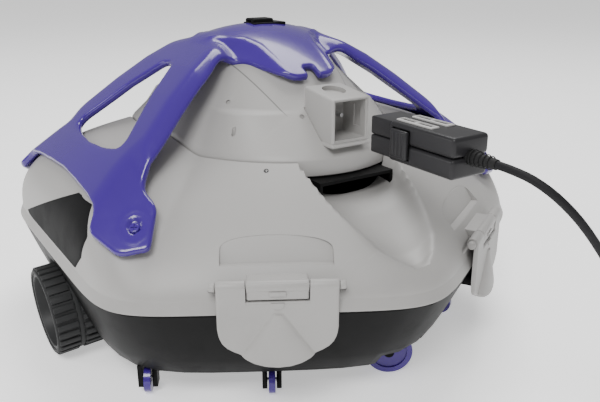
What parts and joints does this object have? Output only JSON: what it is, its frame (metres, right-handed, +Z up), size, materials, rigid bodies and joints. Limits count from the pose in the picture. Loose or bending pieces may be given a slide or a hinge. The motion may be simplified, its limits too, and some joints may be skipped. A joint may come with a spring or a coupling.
{
  "type": "pool cleaning robot",
  "caption": "Cordless pool cleaning robot: domed shell latched to a tub, four-armed carry handle, cambered wheels, guide rollers, water-jet outlets and its charging lead.",
  "frame": {"origin": "on the floor under the middle of the body, charging lead left out", "axes": "+X is the way it drives, where the charging socket looks; +Y runs along the wheel axles; +Z is up"},
  "size_m": [0.5536, 0.5458, 0.2535],
  "materials": {
    "shell_grey": "fine satin, light grey",
    "tub_black": "fine grain, near black",
    "handle_violet": "glossy violet",
    "cover_grey": "satin dark grey",
    "tread_rubber": "matt dark grey rubber",
    "seal_rubber": "soft matt black",
    "inner_plastic": "plain grey",
    "filter_cloth": "fine woven mesh",
    "impeller_violet": "plain violet",
    "pin_steel": "stainless, satin",
    "motor_steel": "plain can",
    "cell_wrap": "shrink wrap",
    "board_green": "solder mask",
    "button_black": "matt",
    "connector_black": "satin black",
    "cord_black": "smooth black jacket"
  },
  "bodies": {
    "tub": {"base_tub": "tub_black", "body_seal": "seal_rubber", "filter_basket": "inner_plastic", "filter_mesh": "filter_cloth", "flap_pin": "pin_steel", "wheel_axles": "pin_steel", "roller_pins": "pin_steel"},
    "flap": {"inlet_flap": "inner_plastic"},
    "wheel_right": {"tyre_right": "tread_rubber", "wheel_hub_right": "cover_grey"},
    "wheel_left": {"tyre_left": "tread_rubber", "wheel_hub_left": "cover_grey"},
    "fork_front": {"guide_fork_front": "tub_black"},
    "guide_front": {"guide_wheel_front": "handle_violet"},
    "fork_rear": {"guide_fork_rear": "tub_black"},
    "guide_rear": {"guide_wheel_rear": "handle_violet"},
    "roller_1": {"edge_roller_1": "handle_violet"},
    "roller_2": {"edge_roller_2": "handle_violet"},
    "roller_3": {"edge_roller_3": "handle_violet"},
    "roller_4": {"edge_roller_4": "handle_violet"},
    "roller_5": {"edge_roller_5": "handle_violet"},
    "roller_6": {"edge_roller_6": "handle_violet"},
    "upper": {"top_shell": "shell_grey", "side_cover_right": "cover_grey", "side_cover_left": "cover_grey", "dome_housing": "shell_grey", "dome_floor": "inner_plastic", "outlet_duct_front": "tub_black", "outlet_duct_rear": "tub_black", "pump_housing": "inner_plastic", "pump_motor": "motor_steel", "battery_pack": "cell_wrap", "control_board": "board_green", "socket_housing": "shell_grey", "socket_contacts": "pin_steel", "carry_handle": "handle_violet", "retrieval_hook": "tub_black", "handle_screws": "pin_steel", "shell_screws": "pin_steel", "latch_pins": "pin_steel"},
    "impeller": {"impeller": "impeller_violet"},
    "button": {"power_button": "button_black"},
    "latch_1": {"latch_1": "shell_grey"},
    "latch_2": {"latch_2": "shell_grey"},
    "latch_3": {"latch_3": "shell_grey"},
    "latch_4": {"latch_4": "shell_grey"},
    "lead": {"connector_lower": "connector_black", "connector_upper": "connector_black", "connector_contacts": "connector_black", "strain_relief": "seal_rubber", "charging_cord": "cord_black", "cord_coil": "cord_black", "cord_tail": "cord_black", "charger_body": "connector_black", "charger_pins": "pin_steel"},
    "clip_right": {"squeeze_clip_right": "connector_black"},
    "clip_left": {"squeeze_clip_left": "connector_black"}
  },
  "joints": [
    {"name": "shell_lift", "type": "slide", "parent": "tub", "child": "upper", "axis": [0, 0, 1], "range_m": [0, 0.12]},
    {"name": "wheel_right_spin", "type": "hinge", "parent": "tub", "child": "wheel_right", "pos_m": [0, -0.1994, 0.03591], "axis": [0, -0.9976, -0.0698], "continuous": true},
    {"name": "wheel_left_spin", "type": "hinge", "parent": "tub", "child": "wheel_left", "pos_m": [0, 0.1994, 0.03591], "axis": [0, 0.9976, -0.0698], "continuous": true},
    {"name": "guide_front_swivel", "type": "hinge", "parent": "tub", "child": "fork_front", "pos_m": [0.17, 0.012, 0], "axis": [0, 0, 1], "range_deg": [-45, 45]},
    {"name": "guide_front_spin", "type": "hinge", "parent": "fork_front", "child": "guide_front", "pos_m": [0.17, 0.012, 0.018], "axis": [0.8192, -0.5736, 0], "continuous": true},
    {"name": "guide_rear_swivel", "type": "hinge", "parent": "tub", "child": "fork_rear", "pos_m": [-0.17, -0.012, 0], "axis": [0, 0, 1], "range_deg": [-45, 45]},
    {"name": "guide_rear_spin", "type": "hinge", "parent": "fork_rear", "child": "guide_rear", "pos_m": [-0.17, -0.012, 0.018], "axis": [-0.8192, 0.5736, 0], "continuous": true},
    {"name": "roller_1_spin", "type": "hinge", "parent": "tub", "child": "roller_1", "pos_m": [0.14503, -0.0768, 0.01], "axis": [0.5, 0.866, 0], "continuous": true},
    {"name": "roller_2_spin", "type": "hinge", "parent": "tub", "child": "roller_2", "pos_m": [0.09397, -0.15125, 0.01], "axis": [0.5, 0.866, 0], "continuous": true},
    {"name": "roller_3_spin", "type": "hinge", "parent": "tub", "child": "roller_3", "pos_m": [0.1223, 0.11218, 0.01], "axis": [-0.5, 0.866, 0], "continuous": true},
    {"name": "roller_4_spin", "type": "hinge", "parent": "tub", "child": "roller_4", "pos_m": [-0.14503, 0.0768, 0.01], "axis": [-0.5, -0.866, 0], "continuous": true},
    {"name": "roller_5_spin", "type": "hinge", "parent": "tub", "child": "roller_5", "pos_m": [-0.09397, 0.15125, 0.01], "axis": [-0.5, -0.866, 0], "continuous": true},
    {"name": "roller_6_spin", "type": "hinge", "parent": "tub", "child": "roller_6", "pos_m": [-0.1223, -0.11218, 0.01], "axis": [0.5, -0.866, 0], "continuous": true},
    {"name": "flap_swing", "type": "hinge", "parent": "tub", "child": "flap", "pos_m": [-0.032, 0, 0.042], "axis": [0, -1, 0], "range_deg": [0, 70]},
    {"name": "latch_1_swing", "type": "hinge", "parent": "upper", "child": "latch_1", "pos_m": [0.1821, -0.09359, 0.105], "axis": [-0.5, -0.866, 0], "range_deg": [0, 100]},
    {"name": "latch_2_swing", "type": "hinge", "parent": "upper", "child": "latch_2", "pos_m": [0.1821, 0.09359, 0.105], "axis": [0.5, -0.866, 0], "range_deg": [0, 100]},
    {"name": "latch_3_swing", "type": "hinge", "parent": "upper", "child": "latch_3", "pos_m": [-0.1821, 0.09359, 0.105], "axis": [0.5, 0.866, 0], "range_deg": [0, 100]},
    {"name": "latch_4_swing", "type": "hinge", "parent": "upper", "child": "latch_4", "pos_m": [-0.1821, -0.09359, 0.105], "axis": [-0.5, 0.866, 0], "range_deg": [0, 100]},
    {"name": "impeller_spin", "type": "hinge", "parent": "upper", "child": "impeller", "pos_m": [0, 0, 0.12], "axis": [0, 0, 1], "continuous": true},
    {"name": "button_press", "type": "slide", "parent": "upper", "child": "button", "axis": [1, 0, 0], "range_m": [0, 0.0025], "stiffness_N_per_m": 400},
    {"name": "connector_slide", "type": "slide", "parent": "upper", "child": "lead", "axis": [1, 0, 0], "range_m": [-0.058, 0]},
    {"name": "clip_right_press", "type": "slide", "parent": "lead", "child": "clip_right", "axis": [0, 1, 0], "range_m": [0, 0.002], "stiffness_N_per_m": 600},
    {"name": "clip_left_press", "type": "slide", "parent": "lead", "child": "clip_left", "axis": [0, -1, 0], "range_m": [0, 0.002], "stiffness_N_per_m": 600}
  ]
}
